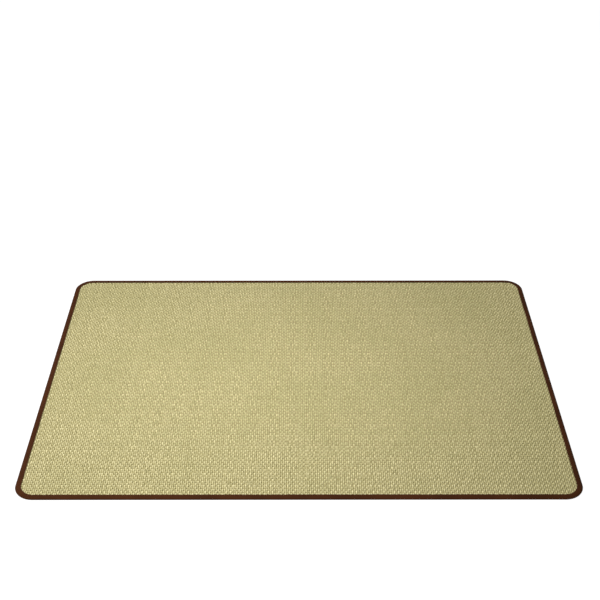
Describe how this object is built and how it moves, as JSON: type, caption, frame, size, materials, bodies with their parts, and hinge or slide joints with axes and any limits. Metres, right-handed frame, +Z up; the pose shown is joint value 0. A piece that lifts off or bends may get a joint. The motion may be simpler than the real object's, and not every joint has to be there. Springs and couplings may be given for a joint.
{
  "type": "bound tatami mat",
  "caption": "Thin rectangular woven rush mat with rounded corners and a folded brown cloth tape sewn round its whole edge, for lying flat on a floor.",
  "frame": {"origin": "middle of the underside, on the floor", "axes": "+X along the long side, +Y across the mat, +Z up out of the top face"},
  "size_m": [2, 1.4, 0.0074],
  "materials": {
    "woven_rush": "matt woven rush, straw coloured",
    "binding_tape": "matt dark brown cloth tape"
  },
  "bodies": {
    "root": {"rush_mat": "woven_rush", "edge_binding": "binding_tape"}
  },
  "joints": []
}
